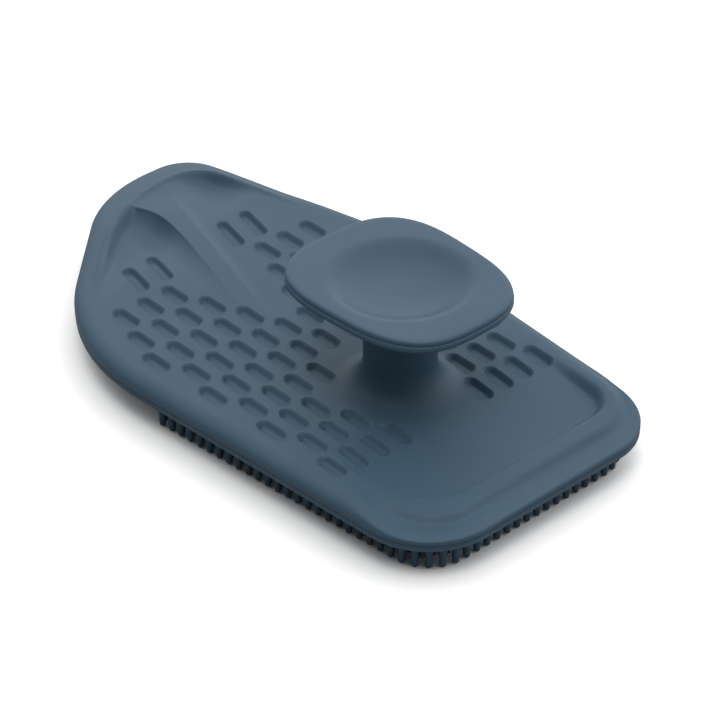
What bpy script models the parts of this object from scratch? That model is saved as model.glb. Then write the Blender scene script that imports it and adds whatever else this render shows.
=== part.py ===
"""Silicone hand scrubber with a knob: a dimpled deck, a bare scraping nose and a field of soft bristles.

Lengths are in metres, +Z is up and the bristle tips stand on z = 0. X runs along the plate, from the
scraping nose (-X) to the square end (+X), and Y runs across it, to the back edge (+Y).
"""
import math

import bmesh
import bpy
from mathutils import Vector, geometry

# Fits
CLEARANCE = 0.0003
TRIANGULATION_UNIT = 0.001

# Plate outline: six straight edges meet at these corners, which arcs round off
PLATE_LENGTH = 0.136
END_BACK_Y = 0.0309
END_FRONT_Y = -0.0309
BACK_BEND_X = -0.0148
BACK_BEND_Y = 0.0372
NOSE_BACK_Y = 0.0254
NOSE_FRONT_Y = 0.0021
FRONT_BEND_X = -0.0290
FRONT_BEND_Y = -0.0378
END_BACK_RADIUS = 0.0139
BACK_BEND_RADIUS = 0.055
NOSE_BACK_RADIUS = 0.0091
NOSE_FRONT_RADIUS = 0.0315
FRONT_BEND_RADIUS = 0.0475
END_FRONT_RADIUS = 0.0152

# Layers, from the bristle tips upward
BRISTLE_LENGTH = 0.0062
MAT_THICKNESS = 0.0010
SKIN_EDGE_HEIGHT = 0.0007
DECK_RISE = 0.0022

# Edge of the deck: well rounded, but for the low flange that it turns into round the square end
EDGE_ROUND = 0.0005
DECK_ROUND = 0.0032
DECK_ROUND_SHARES = (0.05, 0.2, 0.5, 1.0)
FLANGE_LIFT = 0.00055
FLANGE_ROUND = 0.0006
FLANGE_GAIN = 0.0009
FLANGE_GAIN_FROM_END = 0.0200
FLANGE_GAIN_FADE = 0.0140
FLANGE_FROM_END = 0.0250
FLANGE_TURN = 0.0120

# Dimples: staggered rows on both sides of the middle line, which fan out toward the nose
DIMPLE_LENGTH = 0.0075
DIMPLE_WIDTH = 0.0033
DIMPLE_DEPTH = 0.0010
DIMPLE_DRAFT = 0.0005
SLOT_LENGTH = 0.0102
SLOT_WIDTH = 0.0026
SLOT_FROM_NOSE = 0.0327
SLOT_MIDDLE_Y = 0.0014
SLOT_INNER_OFF = 0.0094
SLOT_OUTER_OFF = 0.0155
SLOT_ANGLE = math.radians(-13.0)
COLUMN_PITCH = 0.0079
FIRST_COLUMN_FROM_END = 0.0301
ROW_PITCH_AT_END = 0.0053
ROW_PITCH_AT_NOSE = 0.0062
# Rows in each column, from the square end to the nose, counted in half pitches from the middle line
DIMPLE_ROWS = ((4, 10), (5, 9), (6, 10), (3, 9), (0, 10), (1, 9), (2, 10), (3, 9), (4, 8))
DIMPLE_CAP_STEPS = 5

# Rim that stands inside the flange of the square end
RIM_END_MARGIN = 0.0042
RIM_BACK_MARGIN = 0.0010
RIM_FRONT_MARGIN = 0.0050
RIM_BACK_RADIUS = 0.0123
RIM_FRONT_RADIUS = 0.0098
RIM_SLOPE = 0.0025
RIM_FALL = 0.0009
RIM_FALL_FROM_END = 0.0220
RIM_FALL_LENGTH = 0.0160

# Sunken panel inside that rim
PANEL_DEPTH = 0.0019
PANEL_END_MARGIN = 0.0086
PANEL_BACK_MARGIN = 0.0034
PANEL_FRONT_MARGIN = 0.0067
PANEL_BACK_RADIUS = 0.0076
PANEL_FRONT_RADIUS = 0.0130
PANEL_WALL = 0.0022
PANEL_BACK_WALL = 0.0028
PANEL_RAMP_FROM_END = 0.0360
PANEL_RAMP = 0.0240

# Nose: a bowl inside a rim, which falls to the scraping edge
BOWL_DEPTH = 0.0014
BOWL_WALL = 0.0045
BOWL_FROM_NOSE = 0.0073
BOWL_STOP_FROM_NOSE = 0.0580
BOWL_BACK_MARGIN = 0.0041
BOWL_FRONT_MARGIN = 0.0066
BOWL_BACK_RADIUS = 0.0085
BOWL_FRONT_RADIUS = 0.0370
BOWL_RAMP_FROM_NOSE = 0.0310
BOWL_RAMP = 0.0130
BOWL_SKEW_SHARE = 0.2
NOSE_FALL_SHARE = 0.15
NOSE_FALL_FROM_NOSE = 0.0380
NOSE_FALL_RAMP = 0.0140

# Spine: it crosses the bowl from this place, with a fold on its back side and a pocket along its front side
SPINE_FROM_NOSE = 0.0105
SPINE_START_Y = 0.0119
SPINE_ANGLE = math.radians(-16.2)
SPINE_WIDTH = 0.0044
SPINE_WIDTH_GAIN = 0.0022
SPINE_TAPER = 0.0240
SPINE_FLANK = 0.0036
SPINE_FOLD_FADE = 0.0026
SPINE_RISE = 0.0009
SPINE_RAMP = 0.0120
SPINE_FADE_START = 0.0140
SPINE_FADE = 0.0480
POCKET_DEPTH = 0.0006
POCKET_START = 0.0040
POCKET_RAMP = 0.0080
POCKET_FADE_START = 0.0120
POCKET_FADE = 0.0180
POCKET_FAR_WALL = 0.0040

# Stem, a sleeve that grows out of the deck
STEM_FROM_END = 0.0410
STEM_Y = 0.0005
STEM_RADIUS = 0.0071
STEM_FILLET = 0.0062
STEM_TOP_RADIUS_GAIN = 0.0003
FILLET_JOIN_SHARE = 0.6
FILLET_RING_SHARES = (0.3, 0.6, 0.85, 1.0)

# Knob head
HEAD_TOP = 0.0341
HEAD_HALF_LENGTH = 0.0209
HEAD_HALF_WIDTH = 0.0173
HEAD_TAPER_SHARE = 0.06
HEAD_SQUARENESS = 2.95
HEAD_EDGE = 0.0028
HEAD_EDGE_ROUND = 0.0009
HEAD_RIM_ROUND = 0.0012
DISH_RADIUS = 0.0135
DISH_LIP = 0.0010
DISH_DEPTH = 0.0027
DISH_RING_SHARES = (0.95, 0.8, 0.6, 0.4, 0.2, 0.06)
COLLAR_HEIGHT = 0.0037
COLLAR_FILLET = 0.0022

# Hidden core: a stiffener plate in the deck and the post that carries the knob
STIFFENER_THICKNESS = 0.0009
STIFFENER_FROM_NOSE = 0.0400
STIFFENER_FROM_END = 0.0250
STIFFENER_SIDE_MARGIN = 0.0080
STIFFENER_CORNER_RADIUS = 0.0080
POST_RADIUS = 0.0040
POST_FLANGE_RADIUS = 0.0090
POST_FLANGE_THICKNESS = 0.0010
POST_SPIGOT_RADIUS = 0.0030
SOCKET_ROOF = 0.0010
POST_CHAMFER = 0.0005

# Bristles
BRISTLE_BASE_RADIUS = 0.00085
BRISTLE_TIP_RADIUS = 0.00065
BRISTLE_PITCH = 0.00257
BRISTLE_INNER_PITCH = 0.0033
BRISTLE_END_MARGIN = 0.0041
BRISTLE_SIDE_MARGIN_AT_START = 0.0033
BRISTLE_SIDE_MARGIN_AT_END = 0.0046
BRISTLE_CORNER_RADIUS = 0.0090
BRISTLE_FIRST_CORNER_RADIUS = 0.0010
BRISTLE_FIELD_FROM_NOSE = 0.0627
BRISTLE_RING_GAP = 0.0026
BRISTLE_SIDES = 4

# Mesh density
ARC_STEP_ANGLE = math.radians(11.0)
EDGE_STEP = 0.0060
GRID_STEP = 0.0040
FEATURE_STEP = 0.0030
WALL_PARTS = 3
FEATURE_CLEAR_SHARE = 0.2
GRID_CLEAR_SHARE = 0.35
ROUND_SEGMENTS = 40

# Levels and places that follow from the sizes above
NOSE_X = -PLATE_LENGTH / 2
END_X = PLATE_LENGTH / 2
MAT_BOTTOM = BRISTLE_LENGTH
MAT_TOP = MAT_BOTTOM + MAT_THICKNESS
SKIN_BOTTOM = MAT_TOP + CLEARANCE
EDGE_TOP = SKIN_BOTTOM + SKIN_EDGE_HEIGHT
DECK_TOP = EDGE_TOP + DECK_RISE
STIFFENER_BOTTOM = SKIN_BOTTOM
STIFFENER_TOP = STIFFENER_BOTTOM + STIFFENER_THICKNESS
POCKET_CEILING = STIFFENER_TOP + CLEARANCE
STEM_X = END_X - STEM_FROM_END
HEAD_BOTTOM = HEAD_TOP - HEAD_EDGE
COLLAR_BOTTOM = HEAD_BOTTOM - COLLAR_HEIGHT
STEM_TOP = COLLAR_BOTTOM - CLEARANCE
SOCKET_CEILING = HEAD_TOP - DISH_DEPTH - SOCKET_ROOF
POST_FLANGE_BOTTOM = STIFFENER_TOP + CLEARANCE
POST_FLANGE_TOP = POST_FLANGE_BOTTOM + POST_FLANGE_THICKNESS
STEM_JOIN_RADIUS = STEM_RADIUS + STEM_FILLET * (1 - FILLET_JOIN_SHARE)

SILICONE_COLOUR = (0.085, 0.135, 0.185, 1.0)
NYLON_COLOUR = (0.55, 0.56, 0.57, 1.0)


def clear_scene():
    """Remove what a new file holds, so that only the scrubber is in it."""
    for old in list(bpy.data.objects):
        bpy.data.objects.remove(old, do_unlink=True)


def make_material(name, colour, roughness):
    """Make a plain Principled material."""
    material = bpy.data.materials.new(name)
    material.use_nodes = True
    shader = material.node_tree.nodes["Principled BSDF"]
    shader.inputs["Base Color"].default_value = colour
    shader.inputs["Roughness"].default_value = roughness
    shader.inputs["Metallic"].default_value = 0.0
    return material


def add_piece(name, bm, material):
    """Turn a closed bmesh into a named object, smooth where its faces meet at a low angle."""
    bmesh.ops.recalc_face_normals(bm, faces=bm.faces)
    mesh = bpy.data.meshes.new(name)
    bm.to_mesh(mesh)
    bm.free()
    mesh.shade_smooth()
    mesh.set_sharp_from_angle(angle=math.radians(35.0))
    mesh.materials.append(material)
    piece = bpy.data.objects.new(name, mesh)
    bpy.context.scene.collection.objects.link(piece)
    return piece


def smooth_step(value):
    """Ease from 0 to 1 with level ends."""
    value = min(max(value, 0.0), 1.0)
    return value * value * (3.0 - 2.0 * value)


def plate_corners():
    """The plate's corners, anticlockwise from the square end's back corner: x, y and radius."""
    return (
        (END_X, END_BACK_Y, END_BACK_RADIUS),
        (BACK_BEND_X, BACK_BEND_Y, BACK_BEND_RADIUS),
        (NOSE_X, NOSE_BACK_Y, NOSE_BACK_RADIUS),
        (NOSE_X, NOSE_FRONT_Y, NOSE_FRONT_RADIUS),
        (FRONT_BEND_X, FRONT_BEND_Y, FRONT_BEND_RADIUS),
        (END_X, END_FRONT_Y, END_FRONT_RADIUS),
    )


def edge_y(corners, first, x):
    """Where the straight edge from one corner to the next has the given x."""
    start = corners[first]
    end = corners[(first + 1) % len(corners)]
    return start[1] + (end[1] - start[1]) * (x - start[0]) / (end[0] - start[0])


def square_end_corners(end_margin, back_margin, front_margin, back_radius, front_radius):
    """Corners of an outline that keeps these margins from the plate's edge at the square end."""
    plate = plate_corners()
    end = END_X - end_margin
    start = END_X - PANEL_RAMP_FROM_END - PANEL_BACK_WALL
    return (
        (end, edge_y(plate, 0, end) - back_margin, back_radius),
        (start, edge_y(plate, 0, start) - back_margin, EDGE_ROUND),
        (start, edge_y(plate, 4, start) + front_margin, EDGE_ROUND),
        (end, edge_y(plate, 4, end) + front_margin, front_radius),
    )


def panel_corners():
    """The sunken panel's corners."""
    margins = (PANEL_END_MARGIN, PANEL_BACK_MARGIN, PANEL_FRONT_MARGIN)
    return square_end_corners(*margins, PANEL_BACK_RADIUS, PANEL_FRONT_RADIUS)


def rim_corners():
    """Corners of the foot of the rim that stands inside the flange."""
    margins = (RIM_END_MARGIN, RIM_BACK_MARGIN, RIM_FRONT_MARGIN)
    return square_end_corners(*margins, RIM_BACK_RADIUS, RIM_FRONT_RADIUS)


def bowl_corners():
    """The bowl's corners: its sides run along the nose's edges and it is open toward the stem."""
    plate = plate_corners()
    start = NOSE_X + BOWL_FROM_NOSE
    stop = NOSE_X + BOWL_STOP_FROM_NOSE
    return (
        (stop, edge_y(plate, 1, stop) - BOWL_BACK_MARGIN, EDGE_ROUND),
        (start, edge_y(plate, 1, start) - BOWL_BACK_MARGIN, BOWL_BACK_RADIUS),
        (start, edge_y(plate, 3, start) + BOWL_FRONT_MARGIN, BOWL_FRONT_RADIUS),
        (stop, edge_y(plate, 3, stop) + BOWL_FRONT_MARGIN, EDGE_ROUND),
    )


def field_corners():
    """The bristle field's corners: it stops short of the nose in a straight row."""
    plate = plate_corners()
    end = END_X - BRISTLE_END_MARGIN
    start = NOSE_X + BRISTLE_FIELD_FROM_NOSE
    return (
        (end, edge_y(plate, 0, end) - BRISTLE_SIDE_MARGIN_AT_END, BRISTLE_CORNER_RADIUS),
        (start, edge_y(plate, 0, start) - BRISTLE_SIDE_MARGIN_AT_START, BRISTLE_FIRST_CORNER_RADIUS),
        (start, edge_y(plate, 4, start) + BRISTLE_SIDE_MARGIN_AT_START, BRISTLE_FIRST_CORNER_RADIUS),
        (end, edge_y(plate, 4, end) + BRISTLE_SIDE_MARGIN_AT_END, BRISTLE_CORNER_RADIUS),
    )


def stiffener_corners():
    """The stiffener's corners: a rounded rectangle under the dimples."""
    side = min(END_BACK_Y, -END_FRONT_Y) - STIFFENER_SIDE_MARGIN
    start = NOSE_X + STIFFENER_FROM_NOSE
    end = END_X - STIFFENER_FROM_END
    places = ((end, side), (start, side), (start, -side), (end, -side))
    return tuple((x, y, STIFFENER_CORNER_RADIUS) for x, y in places)


def outward_normals(corners):
    """The outward normal of the edge from each corner to the next, for an anticlockwise outline."""
    normals = []
    for index, corner in enumerate(corners):
        following = corners[(index + 1) % len(corners)]
        along = Vector((following[0] - corner[0], following[1] - corner[1])).normalized()
        normals.append(Vector((along.y, -along.x)))
    return normals


def inset_corners(corners, inset):
    """Move every edge inward by one distance and shrink the radii with it."""
    normals = outward_normals(corners)
    moved = []
    for index, (x, y, radius) in enumerate(corners):
        before = normals[index - 1]
        after = normals[index]
        middle = (before + after).normalized()
        shift = middle * (inset / middle.dot(after))
        moved.append((x - shift.x, y - shift.y, max(radius - inset, EDGE_ROUND)))
    return moved


def corner_arc(corners, normals, index):
    """Centre, radius and the first and last angles of one corner's arc."""
    x, y, radius = corners[index]
    before = normals[index - 1]
    after = normals[index]
    middle = (before + after).normalized()
    centre = Vector((x, y)) - middle * (radius / middle.dot(after))
    first = math.atan2(before.y, before.x)
    turn = before.angle(after)
    return centre, radius, first, turn


def outline_points(corners, inset=0.0):
    """Points round an outline, with the same count for every inset."""
    normals = outward_normals(corners)
    moved = inset_corners(corners, inset)
    points = []
    for index in range(len(corners)):
        centre, radius, first, turn = corner_arc(moved, normals, index)
        steps = max(2, math.ceil(turn / ARC_STEP_ANGLE))
        for step in range(steps + 1):
            angle = first + turn * step / steps
            points.append(centre + Vector((math.cos(angle), math.sin(angle))) * radius)
        plain = corner_arc(corners, normals, index)
        after = corner_arc(corners, normals, (index + 1) % len(corners))
        start = plain[0] + normals[index] * plain[1]
        end = after[0] + normals[index] * after[1]
        pieces = max(1, round((end - start).length / EDGE_STEP))
        following = corner_arc(moved, normals, (index + 1) % len(corners))
        last = following[0] + normals[index] * following[1]
        for piece in range(1, pieces):
            points.append(points[-1].lerp(last, 1.0 / (pieces - piece + 1)))
    return points


def inside_distance(corners, x, y):
    """How far a point lies inside a rounded outline; negative outside."""
    normals = outward_normals(corners)
    point = Vector((x, y))
    nearest = min(-(point - Vector(corner[:2])).dot(normal) for corner, normal in zip(corners, normals))
    for index in range(len(corners)):
        centre, radius, first, turn = corner_arc(corners, normals, index)
        out = point - centre
        angle = (math.atan2(out.y, out.x) - first) % (2.0 * math.pi)
        if angle < turn:
            nearest = min(nearest, radius - out.length)
    return nearest


def spine_places(x, y):
    """Distance along the spine's fold from its start, and distance from the fold toward the back."""
    off_x = x - NOSE_X - SPINE_FROM_NOSE
    off_y = y - SPINE_START_Y
    cosine = math.cos(SPINE_ANGLE)
    sine = math.sin(SPINE_ANGLE)
    return off_x * cosine + off_y * sine, off_y * cosine - off_x * sine


def spine_width(along):
    """Width of the spine's level top, which narrows away from the nose."""
    return SPINE_WIDTH + SPINE_WIDTH_GAIN * (1.0 - smooth_step(along / SPINE_TAPER))


def spine_shares(x, y):
    """How much of the spine and of its pocket a place has, each from 0 to 1."""
    along, across = spine_places(x, y)
    flank = -across - spine_width(along)
    crown = (1.0 - smooth_step(flank / SPINE_FLANK)) * math.exp(-max(across, 0.0) / SPINE_FOLD_FADE)
    pocket = smooth_step(flank / SPINE_FLANK) * (1.0 - smooth_step((flank - SPINE_FLANK) / POCKET_FAR_WALL))
    pocket *= smooth_step((along - POCKET_START) / POCKET_RAMP)
    pocket *= 1.0 - smooth_step((along - POCKET_FADE_START) / POCKET_FADE)
    return crown, pocket


def nose_shape(x, y):
    """The nose's bowl, the spine that crosses it and the fall outside its rim."""
    along = spine_places(x, y)[0]
    crown, pocket = spine_shares(x, y)
    rise = smooth_step(along / SPINE_RAMP) * (1.0 - smooth_step((along - SPINE_FADE_START) / SPINE_FADE))
    inside = inside_distance(bowl_corners(), x, y)
    ramp = smooth_step((NOSE_X + BOWL_RAMP_FROM_NOSE - BOWL_SKEW_SHARE * y - x) / BOWL_RAMP)
    bowl = BOWL_DEPTH * smooth_step(inside / BOWL_WALL) * ramp
    fall = NOSE_FALL_SHARE * max(-inside, 0.0)
    fall *= smooth_step((NOSE_X + NOSE_FALL_FROM_NOSE - x) / NOSE_FALL_RAMP)
    return SPINE_RISE * rise * crown - bowl * (1.0 - crown) - POCKET_DEPTH * pocket - fall


def panel_share(x, y):
    """From 0 on the panel's edge to 1 on its floor; its wall is wider along the back."""
    back = smooth_step(y / (END_BACK_Y - PANEL_BACK_MARGIN - PANEL_BACK_RADIUS))
    wall = PANEL_WALL + (PANEL_BACK_WALL - PANEL_WALL) * back
    return smooth_step(inside_distance(panel_corners(), x, y) / wall)


def panel_shape(x, y):
    """The sunken panel, which ramps down from the dimples to the square end."""
    ramp = smooth_step((x - END_X + PANEL_RAMP_FROM_END) / PANEL_RAMP)
    return -PANEL_DEPTH * panel_share(x, y) * ramp


def from_stem(x, y):
    """Distance from the stem's axis."""
    return math.hypot(x - STEM_X, y - STEM_Y)


def stem_fillet(x, y):
    """The flare at the foot of the stem, a quarter round that ends level with the deck."""
    reach = STEM_RADIUS + STEM_FILLET - from_stem(x, y)
    if reach <= 0.0:
        return 0.0
    reach = min(reach, STEM_FILLET)
    return STEM_FILLET - math.sqrt(STEM_FILLET ** 2 - reach ** 2)


def edge_share(edge, radius):
    """A rounded edge: its height's share, from 0 on the outline to 1 at one radius inward."""
    reach = min(max(1.0 - edge / radius, 0.0), 1.0)
    return math.sqrt(1.0 - reach ** 2)


def square_end_height(x, y, top, edge):
    """Height at the square end: the low flange, and the rim that stands inside it."""
    gain = FLANGE_GAIN * (1.0 - smooth_step((x - END_X + FLANGE_GAIN_FROM_END) / FLANGE_GAIN_FADE))
    flange = EDGE_TOP + (FLANGE_LIFT + gain) * edge_share(edge, FLANGE_ROUND)
    fall = RIM_FALL * smooth_step((x - END_X + RIM_FALL_FROM_END) / RIM_FALL_LENGTH)
    rim = top - fall * (1.0 - panel_share(x, y))
    return flange + (rim - flange) * smooth_step(inside_distance(rim_corners(), x, y) / RIM_SLOPE)


def deck_height(x, y):
    """Height of the deck's top surface, without the dimples."""
    edge = max(inside_distance(plate_corners(), x, y), 0.0)
    top = DECK_TOP + nose_shape(x, y) + panel_shape(x, y) + stem_fillet(x, y)
    side = EDGE_TOP + (top - EDGE_TOP) * edge_share(edge, DECK_ROUND)
    share = smooth_step((x - END_X + FLANGE_FROM_END) / FLANGE_TURN)
    if share == 0.0:
        return side
    return side + (square_end_height(x, y, top, edge) - side) * share


def stadium(place, inset=0.0):
    """A dimple's outline: round ends, and its long way turned from X by its angle."""
    x, y, length, width, angle = place
    reach = (length - width) / 2
    radius = width / 2 - inset
    along = Vector((math.cos(angle), math.sin(angle)))
    across = Vector((-along.y, along.x))
    points = []
    for side in (1.0, -1.0):
        for step in range(DIMPLE_CAP_STEPS + 1):
            turn = math.pi * (step / DIMPLE_CAP_STEPS - 0.5)
            out = reach + math.cos(turn) * radius
            points.append(Vector((x, y)) + side * (along * out + across * (math.sin(turn) * radius)))
    return points


def dimple_places():
    """Centre, length, width and angle of every dimple, with the slots beside the spine last."""
    places = []
    for column, (first, last) in enumerate(DIMPLE_ROWS):
        x = END_X - FIRST_COLUMN_FROM_END - column * COLUMN_PITCH
        share = column / len(DIMPLE_ROWS)
        pitch = ROW_PITCH_AT_END + (ROW_PITCH_AT_NOSE - ROW_PITCH_AT_END) * share
        for row in range(first, last + 1, 2):
            for side in (1, -1) if row else (1,):
                places.append((x, side * row * pitch / 2, DIMPLE_LENGTH, DIMPLE_WIDTH, 0.0))
    for off in (-SLOT_OUTER_OFF, -SLOT_INNER_OFF, SLOT_INNER_OFF, SLOT_OUTER_OFF):
        places.append((NOSE_X + SLOT_FROM_NOSE, SLOT_MIDDLE_Y + off, SLOT_LENGTH, SLOT_WIDTH, SLOT_ANGLE))
    return [place for place in places if dimple_fits(place)]


def dimple_fits(place):
    """A dimple is kept where all of it lies on the level deck and clear of the stem's foot."""
    for point in stadium(place):
        if inside_distance(plate_corners(), point.x, point.y) < DECK_ROUND + EDGE_ROUND:
            return False
        if from_stem(point.x, point.y) < STEM_JOIN_RADIUS + CLEARANCE:
            return False
    return True


def circle(radius):
    """Points round a circle about the stem's axis."""
    angles = [2.0 * math.pi * step / ROUND_SEGMENTS for step in range(ROUND_SEGMENTS)]
    return [Vector((STEM_X + radius * math.cos(angle), STEM_Y + radius * math.sin(angle))) for angle in angles]


def add_loop(bm, points, height):
    """Add a loop of vertices at one height, or at the height a function gives."""
    level = height if callable(height) else lambda x, y: height
    return [bm.verts.new((point.x, point.y, level(point.x, point.y))) for point in points]


def bridge(bm, lower, upper):
    """Join two loops of the same count with a band of faces."""
    count = len(lower)
    for index in range(count):
        following = (index + 1) % count
        bm.faces.new((lower[index], lower[following], upper[following], upper[index]))


def is_inside(loop, x, y):
    """Whether a point lies inside a loop of vertices, seen from above."""
    inside = False
    previous = loop[-1].co
    for vertex in loop:
        here = vertex.co
        if (here.y > y) != (previous.y > y):
            crossing = here.x + (y - here.y) * (previous.x - here.x) / (previous.y - here.y)
            if x < crossing:
                inside = not inside
        previous = here
    return inside


def fill_between(bm, outer, holes, extra=()):
    """Fill a convex loop with triangles, leave its holes open and use the extra vertices."""
    vertices = list(outer)
    edges = []
    for loop in (outer, *holes):
        first = len(vertices) if loop is not outer else 0
        if loop is not outer:
            vertices.extend(loop)
        count = len(loop)
        edges.extend((first + index, first + (index + 1) % count) for index in range(count))
    vertices.extend(extra)
    flat = [Vector((v.co.x / TRIANGULATION_UNIT, v.co.y / TRIANGULATION_UNIT)) for v in vertices]
    result = geometry.delaunay_2d_cdt(flat, edges, [], 1, 1.0e-6)
    sources = [origin[0] for origin in result[3]]
    boxes = [(loop, min(v.co.x for v in loop), max(v.co.x for v in loop)) for loop in holes]
    for triangle in result[2]:
        corners = [vertices[sources[index]] for index in triangle]
        middle = sum((corner.co for corner in corners), Vector()) / 3.0
        near = (loop for loop, low, high in boxes if low < middle.x < high)
        if not any(is_inside(loop, middle.x, middle.y) for loop in near):
            bm.faces.new(corners)


def grid_points(loop_test):
    """A staggered grid of places over the plate, where the test allows them."""
    points = []
    rows = math.ceil(2 * max(BACK_BEND_Y, -FRONT_BEND_Y) / GRID_STEP)
    columns = math.ceil(PLATE_LENGTH / GRID_STEP)
    for column in range(-columns, columns + 1):
        for row in range(-rows, rows + 1):
            x = (column + 0.5 * (row % 2)) * GRID_STEP
            y = row * GRID_STEP
            if loop_test(x, y):
                points.append((x, y))
    return points


def feature_places():
    """Places along the panel, the rim, the bowl and the spine, where the deck bends most."""
    places = []
    lines = (
        (panel_corners(), PANEL_WALL, panel_reach),
        (rim_corners(), RIM_SLOPE, panel_reach),
        (bowl_corners(), BOWL_WALL, bowl_reach),
    )
    for corners, wall, in_reach in lines:
        for part in range(WALL_PARTS + 1):
            ring = spread_along(outline_points(corners, wall * part / WALL_PARTS), FEATURE_STEP)
            places.extend((point.x, point.y) for point in ring if in_reach(point))
    return places + spine_line_places()


def panel_reach(point):
    """Whether a place lies where the panel and the rim have their full shape."""
    return point.x > END_X - PANEL_RAMP_FROM_END


def bowl_reach(point):
    """Whether a place lies where the bowl has its wall."""
    return point.x < NOSE_X + BOWL_RAMP_FROM_NOSE


def spine_line_places():
    """Places along the spine's fold, its flank and its pocket."""
    cosine = math.cos(SPINE_ANGLE)
    sine = math.sin(SPINE_ANGLE)
    places = []
    for step in range(math.ceil(SPINE_FADE / FEATURE_STEP)):
        along = step * FEATURE_STEP
        flank = spine_width(along)
        offs = [SPINE_FOLD_FADE, 0.0]
        offs.extend(-flank - SPINE_FLANK * part / WALL_PARTS for part in range(WALL_PARTS + 1))
        for across in (*offs, -flank - SPINE_FLANK - POCKET_FAR_WALL):
            x = NOSE_X + SPINE_FROM_NOSE + along * cosine - across * sine
            places.append((x, SPINE_START_Y + along * sine + across * cosine))
    return places


def add_deck_top(bm, edge_loop):
    """Build the deck's top: rounded edge, dimples and the foot of the stem; return that foot's loop."""
    corners = plate_corners()
    ring = edge_loop
    for share in DECK_ROUND_SHARES:
        following = add_loop(bm, outline_points(corners, DECK_ROUND * share), deck_height)
        bridge(bm, ring, following)
        ring = following
    places = dimple_places()
    rims = [add_loop(bm, stadium(place), deck_height) for place in places]
    stem_foot = add_loop(bm, circle(STEM_JOIN_RADIUS), deck_height)

    def is_free(x, y, gap):
        if inside_distance(corners, x, y) < DECK_ROUND + gap:
            return False
        if from_stem(x, y) < STEM_JOIN_RADIUS + gap:
            return False
        return not any(near_dimple(place, x, y, gap / 2) for place in places)

    free = []
    for x, y in feature_places():
        if is_free(x, y, FEATURE_STEP / 4) and is_clear(free, x, y, FEATURE_STEP * FEATURE_CLEAR_SHARE):
            free.append((x, y))
    features = list(free)
    for x, y in grid_points(lambda x, y: is_free(x, y, GRID_STEP / 4)):
        if is_clear(features, x, y, GRID_STEP * GRID_CLEAR_SHARE):
            free.append((x, y))
    extra = [bm.verts.new((x, y, deck_height(x, y))) for x, y in free]
    fill_between(bm, ring, rims + [stem_foot], extra)
    for place, rim in zip(places, rims):
        add_dimple(bm, rim, place)
    return stem_foot


def is_clear(places, x, y, gap):
    """Whether a place keeps a gap from all others."""
    return all(math.hypot(x - other_x, y - other_y) > gap for other_x, other_y in places)


def near_dimple(place, x, y, gap):
    """Whether a place lies in a dimple or closer to it than the gap."""
    centre_x, centre_y, length, width, angle = place
    cosine = math.cos(angle)
    sine = math.sin(angle)
    along = (x - centre_x) * cosine + (y - centre_y) * sine
    across = (y - centre_y) * cosine - (x - centre_x) * sine
    beyond = max(abs(along) - (length - width) / 2, 0.0)
    return math.hypot(beyond, across) < width / 2 + gap


def add_dimple(bm, rim, place):
    """Sink a dimple with drafted walls and a level floor below its rim."""
    depth = deck_height(place[0], place[1]) - DIMPLE_DEPTH
    floor = add_loop(bm, stadium(place, DIMPLE_DRAFT), depth)
    bridge(bm, rim, floor)
    bm.faces.new(floor)


def add_deck_underside(bm, outer):
    """Build the underside: the pocket for the stiffener and the one for the post's flange."""
    pocket = outline_points(stiffener_corners(), -CLEARANCE)
    mouth = add_loop(bm, pocket, SKIN_BOTTOM)
    fill_between(bm, outer, [mouth])
    ceiling = add_loop(bm, pocket, POCKET_CEILING)
    bridge(bm, mouth, ceiling)
    well = circle(POST_FLANGE_RADIUS + CLEARANCE)
    well_mouth = add_loop(bm, well, POCKET_CEILING)
    fill_between(bm, ceiling, [well_mouth])
    well_ceiling = add_loop(bm, well, POST_FLANGE_TOP + CLEARANCE)
    bridge(bm, well_mouth, well_ceiling)
    bore = add_loop(bm, circle(POST_RADIUS + CLEARANCE), POST_FLANGE_TOP + CLEARANCE)
    bridge(bm, well_ceiling, bore)
    return bore


def build_deck_skin(material):
    """The top moulding: deck and stem sleeve in one piece of silicone."""
    bm = bmesh.new()
    corners = plate_corners()
    bottom = add_loop(bm, outline_points(corners), SKIN_BOTTOM)
    edge = add_loop(bm, outline_points(corners), EDGE_TOP)
    bridge(bm, bottom, edge)
    ring = add_deck_top(bm, edge)
    for share in FILLET_RING_SHARES:
        angle = math.pi / 2 * share
        radius = STEM_RADIUS + STEM_FILLET * (1.0 - math.sin(angle))
        height = DECK_TOP + STEM_FILLET * (1.0 - math.cos(angle))
        if radius < STEM_JOIN_RADIUS - EDGE_ROUND:
            following = add_loop(bm, circle(radius), height)
            bridge(bm, ring, following)
            ring = following
    top = add_loop(bm, circle(STEM_RADIUS + STEM_TOP_RADIUS_GAIN), STEM_TOP)
    bridge(bm, ring, top)
    mouth = add_loop(bm, circle(POST_RADIUS + CLEARANCE), STEM_TOP)
    bridge(bm, top, mouth)
    bore = add_deck_underside(bm, bottom)
    bridge(bm, mouth, bore)
    return add_piece("deck_skin", bm, material)


def build_stiffener_plate(material):
    """The hidden plate that keeps the deck flat, with a hole for the post's spigot."""
    bm = bmesh.new()
    outline = outline_points(stiffener_corners())
    hole = circle(POST_SPIGOT_RADIUS + CLEARANCE)
    loops = []
    for level in (STIFFENER_BOTTOM, STIFFENER_TOP):
        outer = add_loop(bm, outline, level)
        inner = add_loop(bm, hole, level)
        fill_between(bm, outer, [inner])
        loops.append((outer, inner))
    bridge(bm, loops[0][0], loops[1][0])
    bridge(bm, loops[0][1], loops[1][1])
    return add_piece("stiffener_plate", bm, material)


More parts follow.
